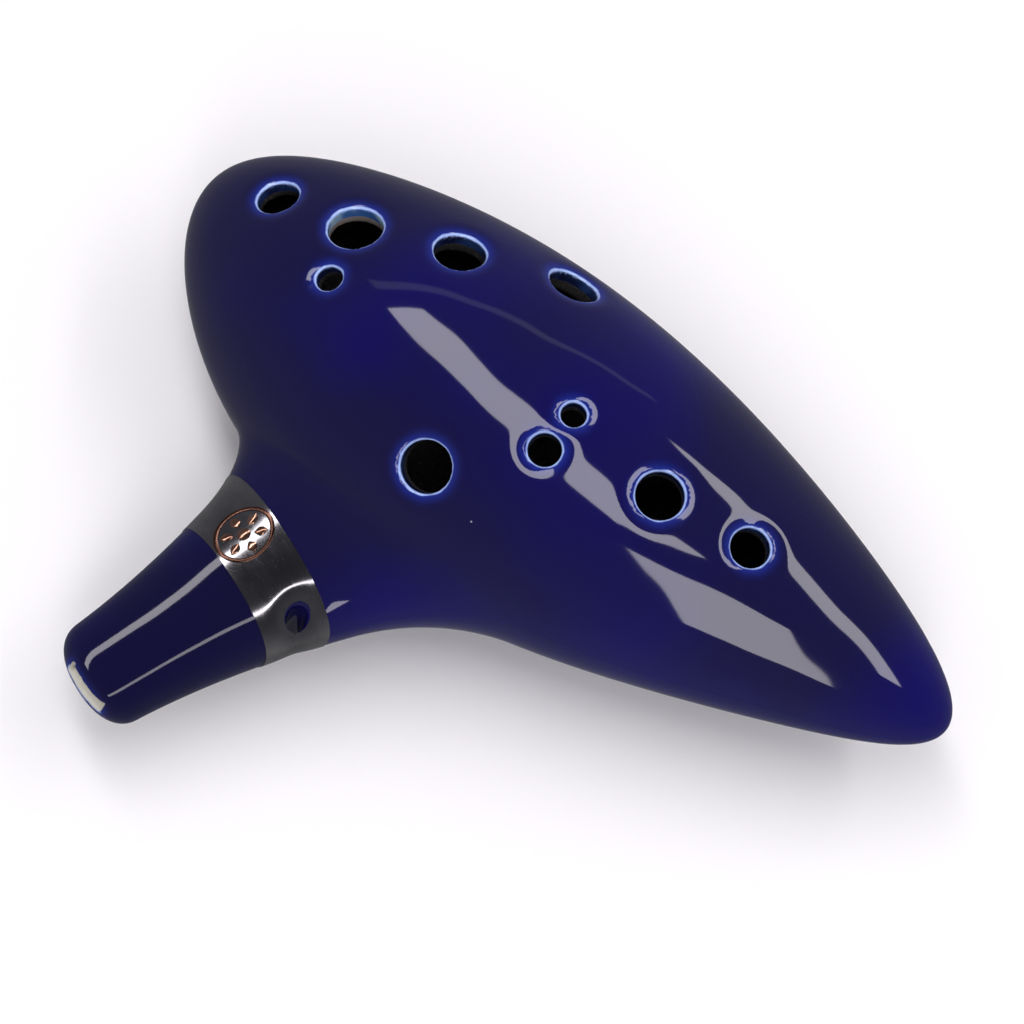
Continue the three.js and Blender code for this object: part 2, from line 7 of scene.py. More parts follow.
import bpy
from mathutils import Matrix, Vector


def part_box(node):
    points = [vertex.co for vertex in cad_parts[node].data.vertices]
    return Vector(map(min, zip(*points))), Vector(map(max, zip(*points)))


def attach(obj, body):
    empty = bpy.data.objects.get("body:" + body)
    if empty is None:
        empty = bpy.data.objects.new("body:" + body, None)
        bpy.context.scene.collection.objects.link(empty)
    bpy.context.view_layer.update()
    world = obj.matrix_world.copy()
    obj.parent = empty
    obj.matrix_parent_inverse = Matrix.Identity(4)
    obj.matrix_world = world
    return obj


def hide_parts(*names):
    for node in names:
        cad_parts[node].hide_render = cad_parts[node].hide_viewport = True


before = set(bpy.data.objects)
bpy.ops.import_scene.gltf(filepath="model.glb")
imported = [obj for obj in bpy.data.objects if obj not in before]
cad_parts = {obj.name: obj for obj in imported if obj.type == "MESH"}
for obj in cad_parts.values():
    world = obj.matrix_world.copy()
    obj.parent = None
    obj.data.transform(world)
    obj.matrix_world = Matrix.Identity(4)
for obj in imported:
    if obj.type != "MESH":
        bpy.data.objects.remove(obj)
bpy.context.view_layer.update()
print("CAD nodes:", sorted(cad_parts))

# %% [markdown]
# ## The potter's measurements
# The CAD pieces are the right size but coarse, and a mirror-bright glaze shows every facet.
# So the shape is described again here by the same design values, and meshed much finer.
# The maker's frame has its origin inside the egg: X runs from the blunt end to the tail, and
# Z points out of the face with the finger holes.

# %% Design values
from math import comb, cos, pi, radians, sin

import bmesh
import bpy
import numpy as np
from mathutils import Matrix, Vector

EGG_LENGTH = 170
EGG_HALF_WIDTHS = [34.2, 37.9, 37.6, 24.2, 20.3]
EGG_HALF_HEIGHTS = [25.2, 28.6, 30.3, 20.4, 17.7]
EGG_SPINE = [0, -11.7, 0, 0]
WALL = 5.0
BEAK_X, BEAK_LENGTH, BEAK_SLANT, BEAK_DROOP = -11.7, 93.6, 19, 3.6
TIP_HALF_WIDTH, TIP_HALF_THICKNESS, TIP_ROUNDING = 10.15, 5.3, 6.2
NECK_HALF_WIDTH, NECK_HALF_THICKNESS, NECK_FLARE = 18.85, 10.05, 1.68
ROOT_START, ROOT_FADE, ROUNDNESS, BLEND = 20.6, 16.5, 2.3, 0.84
FOOT_X, FOOT_Y = -16, -7
SHELL_GAP = 0.3
FINGER_HOLES = [(0.095, 0.245, 7.8), (0.194, 0.325, 10.0), (0.213, -0.067, 4.8), (0.301, 0.539, 9.4),
                (0.413, 0.783, 9.4), (0.426, -0.566, 9.4), (0.516, 0.093, 4.5), (0.516, -0.163, 5.9),
                (0.637, -0.004, 8.6), (0.74, 0.083, 7.1)]
THUMB_HOLES = [(0.215, 0, 9.4), (0.68, 0, 9.0)]

seam_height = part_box("front_shell")[0].z * 1000 - SHELL_GAP / 2
to_part = np.array([-FOOT_X, -FOOT_Y, seam_height])
print("the shells meet", round(seam_height, 2), "mm above the table")

# %% [markdown]
# ## The outside, as a field
# A field gives a number for each point of space: below zero in the clay, above zero in the air.
# The egg and the beak each have one, and a smooth minimum joins them with the soft hollow that
# a potter's thumb leaves. Dividing by the slope turns the number into millimetres.

# %% Egg, beak and their union
def curve(controls, t):
    degree = len(controls) - 1
    return sum(comb(degree, i) * t ** i * (1 - t) ** (degree - i) * value for i, value in enumerate(controls))


def soft_minimum(first, second, reach):
    overlap = np.maximum(reach - np.abs(first - second), 0) / reach
    return np.minimum(first, second) - overlap ** 2 * reach / 4


def egg(points, inset=0.0):
    x, y, z = np.moveaxis(points, -1, 0)
    length = EGG_LENGTH - 2 * inset
    along = np.clip((x + length / 2) / length, -0.05, 1.05)
    place = np.clip(x / EGG_LENGTH + 0.5, 0, 1)
    width = curve(EGG_HALF_WIDTHS, place) - inset
    height = curve(EGG_HALF_HEIGHTS, place) - inset
    return ((y - curve(EGG_SPINE, place)) / width) ** 2 + (z / height) ** 2 - 4 * along * (1 - along)


beak_frame = (Matrix.Translation((BEAK_X, 0, 0)) @ Matrix.Rotation(-radians(BEAK_SLANT), 4, "Z")
              @ Matrix.Rotation(radians(BEAK_DROOP), 4, "X"))


def local_to(points, place):
    return (points - np.array(place.translation)) @ np.array(place.to_3x3())


def beak(points):
    side, back, height = np.moveaxis(local_to(points, beak_frame), -1, 0)
    reach = -back
    taper = (np.clip((BEAK_LENGTH - reach) / BEAK_LENGTH, 0.001, 0.85) / 0.5) ** NECK_FLARE
    half_width = TIP_HALF_WIDTH + (NECK_HALF_WIDTH - TIP_HALF_WIDTH) * taper
    half_thickness = TIP_HALF_THICKNESS + (NECK_HALF_THICKNESS - TIP_HALF_THICKNESS) * taper
    tip = np.maximum(reach - (BEAK_LENGTH - TIP_ROUNDING), 0) / TIP_ROUNDING
    root = np.maximum(ROOT_START - reach, 0) / ROOT_FADE
    return (np.abs(side / half_width) ** ROUNDNESS + np.abs(height / half_thickness) ** ROUNDNESS
            + tip ** ROUNDNESS + root ** 2 - 1)


def outside(points):
    return soft_minimum(egg(points), beak(points), BLEND)


MOVES = np.eye(3) * 0.05


def slope(field, points):
    return np.stack([(field(points + move) - field(points - move)) / (2 * move.sum()) for move in MOVES], -1)


def distance(field, points):
    value = field(points)
    rises = [(field(points + move) - value) / move.sum() for move in MOVES]
    return value / np.maximum(np.sqrt(sum(rise ** 2 for rise in rises)), 1e-4)


inner_spot = np.array([0.0, -5.0, 22.0])
print("a spot near the egg's middle is", round(float(-distance(outside, inner_spot)), 2), "mm under the skin")

# %% [markdown]
# ## Where the holes go
# The maker plans a hole by how far along the egg it is and how far across, then pushes the tube
# in square to the surface. Marching down from the air finds the surface, and the field's slope
# there is the tube's direction.

# %% Land points on a surface
CLEAR_OF_CLAY, LANDING_REACH = 45.0, 60.0


def land(field, starts, directions):
    """Marches from the air until the field changes sign, then halves the last step."""
    steps = np.linspace(0, LANDING_REACH, 241)
    values = np.stack([field(starts + directions * step) for step in steps])
    first = np.argmax(values < 0, axis=0)
    low, high = steps[first - 1], steps[first]
    for _ in range(24):
        middle = (low + high) / 2
        in_clay = field(starts + directions * middle[..., None]) < 0
        low, high = np.where(in_clay, low, middle), np.where(in_clay, middle, high)
    return starts + directions * low[..., None]


def unit(vectors):
    return vectors / np.linalg.norm(vectors, axis=-1, keepdims=True)


def tube_at(along, across, facing):
    x = (along - 0.5) * EGG_LENGTH
    width = curve(EGG_HALF_WIDTHS, along) * (4 * along * (1 - along)) ** 0.5
    start = np.array([[x, curve(EGG_SPINE, along) + across * width, facing * CLEAR_OF_CLAY]])
    mouth = land(outside, start, np.array([[0, 0, -facing]]))[0]
    return mouth, unit(slope(outside, mouth))


tubes = [(*tube_at(along, across, facing), bore / 2)
         for holes, facing in ((FINGER_HOLES, 1), (THUMB_HOLES, -1)) for along, across, bore in holes]
print(len(tubes), "holes; the widest bore is", max(2 * radius for _, _, radius in tubes), "mm")

# %% [markdown]
# ## The band's own frame
# A lustre band crosses the neck at a slant, and a small lanyard hole goes through it. A frame
# that leans with the band keeps both simple: across, along the beak, and out of the front.

# %% Band, joint and lanyard hole
BAND_START, BAND_WIDTH, BAND_LEAN = 51.6, 11.4, 22
JOINT_FROM_BAND_EDGE = 2.2
LANYARD_BORE, LANYARD_FROM_SIDE = 3.6, 4.0

band_frame = (beak_frame @ Matrix.Translation((0, -BAND_START, 0))
              @ Matrix.Rotation(-radians(BAND_LEAN), 4, "X"))
band_span = BAND_WIDTH * cos(radians(BAND_LEAN))
joint_distance = band_span - JOINT_FROM_BAND_EDGE
joint_point = np.array(band_frame @ Vector((0, -joint_distance, 0)))
joint_normal = np.array(band_frame.to_3x3() @ Vector((0, 1, 0)))


def beak_half_width(reach):
    taper = ((BEAK_LENGTH - reach) / BEAK_LENGTH / 0.5) ** NECK_FLARE
    return TIP_HALF_WIDTH + (NECK_HALF_WIDTH - TIP_HALF_WIDTH) * taper


lanyard_side = beak_half_width(BAND_START + joint_distance / 2) - LANYARD_FROM_SIDE
lanyard_axis = np.array(band_frame.to_3x3() @ Vector((0, 0, 1)))
lanyard_point = np.array(band_frame @ Vector((lanyard_side, -joint_distance / 2, 0)))
print("band", round(band_span, 2), "mm wide, lanyard hole", round(lanyard_side, 2), "mm off the middle")

# %% [markdown]
# ## The clay, as a field
# The potter hollows the egg, cuts the windway and the window, and pushes the holes in. Each cut
# is a smooth subtraction, so its edge comes out rounded, as it does where wet glaze has pulled
# back. Round every hole the surface also dips a little, because the tube drags clay down.

# %% Cuts made in the beak
WINDWAY_WIDTH, WINDWAY_HEIGHT, WINDWAY_SIDE = 9.6, 2.0, 1.2
WINDWAY_MOUTH, WINDWAY_EXIT = 3.0, -8.2
WINDOW_START, WINDOW_END = 30, 36
POCKET_ROOF, POCKET_HALF_WIDTH = 4, 7.0
LABIUM_TOP, LABIUM_EDGE, LABIUM_LENGTH, LABIUM_DROP = -9.2, 0.8, 24, 10.7
RAMP_LENGTH, RAMP_DROP = 20, 14.7


def over_line(reach, height, start, end):
    run, rise = end[0] - start[0], end[1] - start[1]
    return ((height - start[1]) * run - (reach - start[0]) * rise) / np.hypot(run, rise)


def beak_cuts(points):
    side, back, height = np.moveaxis(local_to(points, beak_frame), -1, 0)
    reach, side = -back, np.abs(side - WINDWAY_SIDE)
    in_slot = side - WINDWAY_WIDTH / 2
    middle = over_line(reach, height, (WINDOW_END, WINDWAY_EXIT), (BEAK_LENGTH, WINDWAY_MOUTH))
    windway = np.maximum.reduce([in_slot, np.abs(middle) - WINDWAY_HEIGHT / 2, WINDOW_END - 1 - reach])
    window = np.maximum.reduce([in_slot, WINDOW_START - reach, reach - WINDOW_END, height - WINDWAY_EXIT])
    edge = LABIUM_TOP - LABIUM_EDGE
    slant = over_line(reach, height, (WINDOW_START - RAMP_LENGTH, edge - RAMP_DROP), (WINDOW_START, edge))
    ramp = np.maximum.reduce([in_slot, slant, reach - WINDOW_START, WINDOW_START - RAMP_LENGTH - reach])
    pocket = np.maximum.reduce([side - POCKET_HALF_WIDTH, WINDOW_START / 2 - reach, reach - WINDOW_END,
                                LABIUM_TOP - height, height - POCKET_ROOF])
    top = over_line(reach, height, (WINDOW_START - LABIUM_LENGTH, LABIUM_TOP - LABIUM_DROP),
                    (WINDOW_START, LABIUM_TOP))
    labium = np.maximum.reduce([side - POCKET_HALF_WIDTH, top, reach - WINDOW_START,
                                WINDOW_START - LABIUM_LENGTH - reach])
    return windway, np.minimum(window, ramp), pocket, labium


# %% Everything together
DISH_DEPTH, DISH_WIDTH = 0.6, 2.0
RIM_ROUNDING, SLOT_ROUNDING, LANYARD_ROUNDING, FOOT_ROUNDING = 0.85, 0.6, 1.0, 0.8


def tube_parts(points, mouth, axis):
    height = (points - mouth) @ axis
    radius = np.linalg.norm(points - mouth - height[..., None] * axis, axis=-1)
    return radius, height


def ease(value, low, high):
    t = np.clip((value - low) / (high - low), 0, 1)
    return t * t * (3 - 2 * t)


def cut(solid, tool, rounding):
    """Takes the tool's inside away from the solid, and rounds the edge that leaves."""
    return -soft_minimum(-solid, tool, rounding)


def dish(radius, bore):
    return DISH_DEPTH * np.exp(-((np.maximum(radius - bore, 0) + 0.4) / DISH_WIDTH) ** 2)


def skin_field(points):
    """The outside with its dishes, before anything is cut into it."""
    solid = distance(outside, points)
    for mouth, axis, bore in tubes:
        radius, height = tube_parts(points, mouth, axis)
        solid = solid + dish(radius, bore) * (height > -2 * WALL)
    side_radius, _ = tube_parts(points, lanyard_point, lanyard_axis)
    solid = solid + dish(side_radius, LANYARD_BORE / 2)
    return cut(solid, points[..., 2] + seam_height, FOOT_ROUNDING)


def clay(points):
    solid = skin_field(points)
    windway, window, pocket, labium = beak_cuts(points)
    hollow = np.maximum(distance(lambda p: egg(p, WALL), points), -labium)
    solid = np.maximum(solid, -np.minimum(hollow, pocket))
    solid = cut(cut(solid, window, SLOT_ROUNDING), windway, SLOT_ROUNDING)
    for mouth, axis, bore in tubes:
        radius, height = tube_parts(points, mouth, axis)
        solid = cut(solid, np.maximum(radius - bore, -2 * WALL - height), RIM_ROUNDING)
    side_radius, _ = tube_parts(points, lanyard_point, lanyard_axis)
    return cut(solid, side_radius - LANYARD_BORE / 2, LANYARD_ROUNDING)


print("clay field in a wall:", round(float(clay(np.array([[0.0, -6.0, 25.0]]))[0]), 2), "mm")

# %% [markdown]
# ## From field to mesh
# Surface nets put one vertex in each grid cell that the surface crosses, and join neighbours with
# quads. It is a short recipe, and its quads are even, which suits smooth glaze. Each vertex then
# slides down the slope onto the exact surface. Only cells near the surface are worked out.

# %% Surface nets
CELL = 0.62
BLOCK = 4
MOST_MENDS = 6


def sample(field, low, counts):
    rough = [low[i] + CELL * (BLOCK * np.arange(counts[i] // BLOCK) + (BLOCK - 1) / 2) for i in range(3)]
    values = field(np.stack(np.meshgrid(*rough, indexing="ij"), -1))
    for axis in range(3):
        values = values.repeat(BLOCK, axis)
    close = np.abs(values) < 1.5 * BLOCK * CELL
    values[close] = field(low + CELL * np.argwhere(close))
    return values


def untangle(values):
    """Where the corners of a grid square are in, out, in, out, the one nearest to the skin changes
    side. Left alone, such a square makes two sheets of skin share one edge."""
    changed = 0
    for axis in range(3):
        grid = np.moveaxis(values, axis, 2)
        inside = grid < 0
        first, second, third, fourth = inside[:-1, :-1], inside[1:, :-1], inside[1:, 1:], inside[:-1, 1:]
        for i, j, k in np.argwhere((first == third) & (second == fourth) & (first != second)):
            corners = [(i, j, k), (i + 1, j, k), (i + 1, j + 1, k), (i, j + 1, k)]
            nearest = min(corners, key=lambda corner: abs(grid[corner]))
            grid[nearest] = -grid[nearest]
            changed += 1
    return changed


def surface_nets(field, low, high):
    counts = [int(np.ceil((high[i] - low[i]) / CELL / BLOCK)) * BLOCK for i in range(3)]
    values = sample(field, np.array(low), counts)
    for _ in range(MOST_MENDS):
        flipped = untangle(values)
        print("tangled squares mended:", flipped)
        if not flipped:
            break
    inside = values < 0
    corners = [(i, j, k) for i in (0, 1) for j in (0, 1) for k in (0, 1)]
    size = [count - 1 for count in counts]
    filled = sum(inside[i:i + size[0], j:j + size[1], k:k + size[2]].astype(int) for i, j, k in corners)
    crossed = (filled > 0) & (filled < 8)
    cells = np.argwhere(crossed)
    number = -np.ones(crossed.shape, int)
    number[crossed] = np.arange(len(cells))
    total, hits = np.zeros((len(cells), 3)), np.zeros((len(cells), 1))
    for a in corners:
        for b in corners:
            if a < b and sum(abs(p - q) for p, q in zip(a, b)) == 1:
                first, second = (values[tuple((cells + corner).T)] for corner in (a, b))
                meets = ((first < 0) != (second < 0))[:, None]
                share = (first / np.where(first == second, 1, first - second))[:, None]
                total += meets * (np.array(a) + (np.array(b) - np.array(a)) * share)
                hits += meets
    points = low + CELL * (cells + total / hits)
    quads = []
    for axis in range(3):
        u, v = np.eye(3, dtype=int)[[(axis + 1) % 3, (axis + 2) % 3]]
        here = inside.take(range(counts[axis] - 1), axis)
        edges = np.argwhere(here != inside.take(range(1, counts[axis]), axis))
        quad = np.stack([number[tuple((edges - shift).T)] for shift in (u + v, v, 0 * u, u)], 1)
        leaving = ~here[tuple(edges.T)]
        quad[leaving] = quad[leaving][:, ::-1]
        quads.append(quad)
    return points, np.concatenate(quads)


def slide_onto(field, points):
    for _ in range(2):
        rise = slope(field, points)
        steps = (field(points) / np.maximum((rise ** 2).sum(-1), 0.05))[:, None] * rise
        lengths = np.maximum(np.linalg.norm(steps, axis=1), 1e-9)
        points = points - steps * np.minimum(1, CELL / lengths)[:, None]
    return points


low = np.array([-88.0, -93.0, -seam_height - 2.0])
high = np.array([89.0, 32.0, 30.0])
clay_points, clay_quads = surface_nets(clay, low, high)
clay_points = slide_onto(clay, clay_points)
print(len(clay_points), "vertices and", len(clay_quads), "quads")

# %% [markdown]
# ## Three clay pieces
# The CAD part is a front shell, a back shell and a mouthpiece. Cutting the fine mesh by the same
# two planes gives a piece for each, and the flat cuts are filled, so each piece stays closed.
# The cuts touch, so one glaze runs over all three without a line.

# %% Cut and cap with bmesh
def bmesh_of(points, faces):
    mesh = bpy.data.meshes.new("draft")
    mesh.from_pydata(points.tolist(), [], faces.tolist())
    shape = bmesh.new()
    shape.from_mesh(mesh)
    bpy.data.meshes.remove(mesh)
    return shape


def slice_off(shape, point, normal):
    """Keeps the side that the normal points away from, and fills the cut."""
    geometry = list(shape.verts) + list(shape.edges) + list(shape.faces)
    cut_through = bmesh.ops.bisect_plane(shape, geom=geometry, dist=1e-5, plane_co=Vector(point),
                                         plane_no=Vector(normal), clear_outer=True)
    rim = [part for part in cut_through["geom_cut"]
           if isinstance(part, bmesh.types.BMEdge) and part.is_boundary]
    bmesh.ops.triangle_fill(shape, use_beauty=False, use_dissolve=False, edges=rim, normal=Vector(normal))


def clay_piece(cuts):
    shape = bmesh_of(clay_points, clay_quads)
    for point, normal in cuts:
        slice_off(shape, point, normal)
    bmesh.ops.remove_doubles(shape, verts=shape.verts, dist=1e-4)
    bmesh.ops.holes_fill(shape, edges=[edge for edge in shape.edges if edge.is_boundary], sides=12)
    print("  open edges:", sum(not edge.is_manifold for edge in shape.edges), "faces:", len(shape.faces))
    return shape


up = np.array([0.0, 0.0, 1.0])
middle = np.zeros(3)
cuts = {
    "glazed_front": [(joint_point, -joint_normal), (middle, -up)],
    "glazed_back": [(joint_point, -joint_normal), (middle, up)],
    "glazed_mouthpiece": [(joint_point, joint_normal)],
}
clay_shapes = {name: clay_piece(planes) for name, planes in cuts.items()}

# %% [markdown]
# ## What the glaze needs to know
# Glaze runs thin over a sharp rim and shows the white clay through, and it stops a little way
# down each hole. Four numbers on every vertex let a material draw that crisply: how far the
# vertex is from the nearest rim and from the windway, how bare the clay is there, and whether it
# is in the one wide hole whose wall is painted lighter, as painted light falling into it.

# %% Measure rims and bare clay
# The wide second hole: its wall glaze and bare clay are painted lighter, as painted light.
LIT_HOLE = 1
FAR = 50.0
GLAZE_STOPS = (2.2, 3.6)
MOUTH_DEPTH = 1.2


def nearest_rim(points):
    skin = -distance(outside, points)
    rim = np.full(len(points), FAR)
    for mouth, axis, bore in tubes:
        radius, height = tube_parts(points, mouth, axis)
        rim = np.where(height > -2 * WALL, np.minimum(rim, radius - bore), rim)
    side, back, height = np.moveaxis(local_to(points, beak_frame), -1, 0)
    middle_line = over_line(-back, height, (WINDOW_END, WINDWAY_EXIT), (BEAK_LENGTH, WINDWAY_MOUTH))
    slot = np.hypot(np.maximum(np.abs(side - WINDWAY_SIDE) - WINDWAY_WIDTH / 2, 0),
                    np.maximum(np.abs(middle_line) - WINDWAY_HEIGHT / 2, 0))
    slot = np.hypot(slot, np.maximum(WINDOW_END - 1 + back, 0))
    mouth = np.hypot(slot, np.maximum(BEAK_LENGTH - MOUTH_DEPTH + back, 0))
    return np.minimum(rim, mouth), skin, slot


def bareness(points, skin):
    """0 on glaze and 1 on clay: the glaze stops a little way down each hole, but lines the lanyard's."""
    radius, _ = tube_parts(points, lanyard_point, lanyard_axis)
    return ease(skin, *GLAZE_STOPS) * (radius > LANYARD_BORE)


def lit_hole_mask(points):
    """1 in the wide hole whose wall is painted lighter, as painted light falling into it."""
    mouth, axis, bore = tubes[LIT_HOLE]
    radius, height = tube_parts(points, mouth, axis)
    return (1 - ease(radius - bore, 0.1, 0.8)) * (height > -2 * WALL)


def set_numbers(mesh, name, values):
    mesh.attributes.new(name, "FLOAT", "POINT").data.foreach_set("value", np.asarray(values, np.float32))


def finish_clay(name, shape, planes):
    mesh = bpy.data.meshes.new(name)
    shape.to_mesh(mesh)
    shape.free()
    points = np.zeros(len(mesh.vertices) * 3)
    mesh.vertices.foreach_get("co", points)
    points = points.reshape(-1, 3)
    rim, skin, slot = nearest_rim(points)
    set_numbers(mesh, "rim", rim)
    set_numbers(mesh, "slot", slot)
    set_numbers(mesh, "bare", bareness(points, skin))
    set_numbers(mesh, "thin", lit_hole_mask(points))
    normals = unit(slope(clay, points))
    corners = np.zeros(len(mesh.loops), int)
    mesh.loops.foreach_get("vertex_index", corners)
    starts = np.zeros(len(mesh.polygons), int)
    mesh.polygons.foreach_get("loop_start", starts)
    loops = normals[corners]
    for point, normal in planes:
        on_plane = np.abs((points - point) @ normal) < 1e-3
        flat = np.logical_and.reduceat(on_plane[corners], starts)
        loops[np.repeat(flat, np.diff(np.append(starts, len(corners))))] = normal
    mesh.vertices.foreach_set("co", ((points + to_part) / 1000).ravel())
    mesh.polygons.foreach_set("use_smooth", np.ones(len(mesh.polygons), bool))
    mesh.normals_split_custom_set(loops.tolist())
    mesh.update()
    piece = bpy.data.objects.new(name, mesh)
    bpy.context.scene.collection.objects.link(piece)
    return piece


clay_pieces = {name: finish_clay(name, shape, cuts[name]) for name, shape in clay_shapes.items()}
stands_for = {"glazed_front": "front_shell", "glazed_back": "back_shell", "glazed_mouthpiece": "mouthpiece"}
for name, node in stands_for.items():
    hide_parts(node)
    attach(clay_pieces[name], "root")
    print(name, len(clay_pieces[name].data.polygons), "faces")

# %% [markdown]
# ## The lustre band
# Lustre is a metal film painted over the fired glaze and fired again. It is a skin a tenth of a
# millimetre thick, so it is built as one: a grid of points landed on the clay, lifted by two
# heights, and closed at its edges. The cells over the lanyard hole are left out.

# %% Films that lie on the clay
def film(name, points, lift, thickness, closed_round, opening=None):
    """points is a grid [row, column, xyz] in the maker's frame; thickness may vary over the grid.

    An opening (middle, axis, radius) drops the cells inside it, and moves the corners left over
    its edge outwards until they lie on it."""
    rows, columns = points.shape[:2]
    row, column = np.meshgrid(range(rows - 1), range(columns if closed_round else columns - 1), indexing="ij")
    row, column, after = row.ravel(), column.ravel(), (column.ravel() + 1) % columns
    quads = np.stack([row * columns + column, (row + 1) * columns + column,
                      (row + 1) * columns + after, row * columns + after], 1)
    spots = points.reshape(-1, 3)
    if opening:
        middle, axis, radius = opening
        away, height = tube_parts(spots, middle, axis)
        quads = quads[(away[quads] > radius).any(1)]
        sideways = unit(spots - middle - height[:, None] * axis)
        spots = slide_onto(skin_field, spots + sideways * np.maximum(radius - away, 0)[:, None])
    used, quads = np.unique(quads, return_inverse=True)
    quads = quads.reshape(-1, 4)
    spots, thickness = spots[used], np.broadcast_to(thickness, (rows, columns)).ravel()[used]
    outward = unit(slope(skin_field, spots))
    low_side = spots + outward * lift
    vertices = np.concatenate([low_side, low_side + outward * thickness[:, None]])
    sides = {tuple(side) for k in range(4) for side in quads[:, [k, (k + 1) % 4]].tolist()}
    edge = sorted(side for side in sides if side[::-1] not in sides)
    top = len(spots)
    faces = (quads + top).tolist() + quads[:, ::-1].tolist() + [[a, b, b + top, a + top] for a, b in edge]
    mesh = bpy.data.meshes.new(name)
    mesh.from_pydata(((vertices + to_part) / 1000).tolist(), [], faces)
    tidy_normals(mesh)
    piece = bpy.data.objects.new(name, mesh)
    bpy.context.scene.collection.objects.link(piece)
    print(name, len(mesh.polygons), "faces")
    return piece


def tidy_normals(mesh):
    shape = bmesh.new()
    shape.from_mesh(mesh)
    bmesh.ops.recalc_face_normals(shape, faces=shape.faces)
    shape.to_mesh(mesh)
    shape.free()
    mesh.polygons.foreach_set("use_smooth", np.ones(len(mesh.polygons), bool))
    mesh.set_sharp_from_angle(angle=radians(40))
    mesh.update()


# %% The band itself
FILM_LIFT, FILM_THICKNESS = 0.03, 0.11
BAND_COLUMNS, BAND_ROWS = 288, 32
LANYARD_CLEARANCE = 0.45


def in_band(across, along, out):
    """Points or directions of the band's frame, in the maker's frame."""
    axes = np.array(band_frame.to_3x3())
    return np.stack(np.broadcast_arrays(across, along, out), -1) @ axes.T


origin = np.array(band_frame.translation)
turns = np.linspace(0, 2 * pi, BAND_COLUMNS, endpoint=False)
rows = np.linspace(0, band_span, BAND_ROWS)
outward = np.broadcast_to(in_band(np.cos(turns), 0, np.sin(turns)), (len(rows), len(turns), 3))
starts = origin + in_band(0, -rows[:, None], 0) + CLEAR_OF_CLAY * outward
band_points = land(skin_field, starts, -outward)
band = film("lustre_band", band_points, FILM_LIFT, FILM_THICKNESS, True,
            (lanyard_point, lanyard_axis, LANYARD_BORE / 2 + LANYARD_CLEARANCE))

# %% [markdown]
# ## The rosette
# A small plain rosette is painted in copper lustre on the front of the band: a ring, six petals
# and a dot. Each is a film of its own, thickest along its middle, as a brush leaves it.

# %% Ring, petals and centre
ROSETTE_SIDE, ROSETTE_MARGIN, ROSETTE_RIM = -5.2, 0.3, 0.7
PETALS, PETAL_START, PETAL_TO_RIM, PETAL_HALF_WIDTH, CENTRE_RADIUS = 6, 1.7, 0.4, 0.8, 1.1
ROSETTE_LIFT, ROSETTE_THICKNESS = 0.17, 0.07
rosette_radius = band_span / 2 - ROSETTE_MARGIN


def on_band(across, along):
    """Lands a drawing, made on the rosette's flat plane, on the clay under it."""
    starts = origin + in_band(ROSETTE_SIDE + across, -band_span / 2 - along, 30)
    directions = np.broadcast_to(in_band(0, 0, -1.0), starts.shape)
    return land(skin_field, starts, directions)


def petal_outline(u, v, number):
    along = PETAL_START + (rosette_radius - ROSETTE_RIM - PETAL_TO_RIM - PETAL_START) * v
    side = (2 * u - 1) * PETAL_HALF_WIDTH * (0.12 + 0.88 * np.sin(pi * v))
    angle = 2 * pi * number / PETALS
    return along * cos(angle) - side * sin(angle), along * sin(angle) + side * cos(angle)


angle = np.linspace(0, 2 * pi, 96, endpoint=False)
radius = rosette_radius - ROSETTE_RIM * np.linspace(0, 1, 7)[:, None]
ring_swell = ROSETTE_THICKNESS + 0.08 * np.sin(pi * np.linspace(0, 1, 7))[:, None]
ring = film("rosette_outer_ring", on_band(radius * np.cos(angle), radius * np.sin(angle)),
            ROSETTE_LIFT, ring_swell, True)
rosette = {"rosette_ring": ring}
u, v = np.meshgrid(np.linspace(0, 1, 11), np.linspace(0, 1, 25), indexing="ij")
petal_swell = ROSETTE_THICKNESS + 0.16 * np.sin(pi * u) * np.sin(pi * np.clip(v, 0.02, 0.98)) ** 0.5
for number in range(1, PETALS + 1):
    landed = on_band(*petal_outline(u, v, number))
    rosette[f"rosette_petal_{number}"] = film(f"copper_petal_{number}", landed,
                                              ROSETTE_LIFT, petal_swell, False)
a, b = np.meshgrid(np.linspace(-1, 1, 15), np.linspace(-1, 1, 15), indexing="ij")
disc_x, disc_y = a * np.sqrt(1 - b ** 2 / 2), b * np.sqrt(1 - a ** 2 / 2)
dot_swell = ROSETTE_THICKNESS + 0.2 * (1 - disc_x ** 2 - disc_y ** 2).clip(0)
rosette["rosette_centre"] = film("copper_dot", on_band(CENTRE_RADIUS * disc_x, CENTRE_RADIUS * disc_y),
                                 ROSETTE_LIFT, dot_swell, False)

# %% Stand the films in for their CAD nodes
films = [(band, "silver_band", "lustre")] + [(piece, node, "copper") for node, piece in rosette.items()]
for piece, node, slot_name in films:
    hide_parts(node)
    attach(piece, "root")
print("film pieces:", len(films))

# %% [markdown]
# ## Writing materials as sums
# A glaze is easier to read as arithmetic than as a web of wires. One class holds a socket, and
# its operators add the Math nodes. Its one method `add` makes any other kind of node.

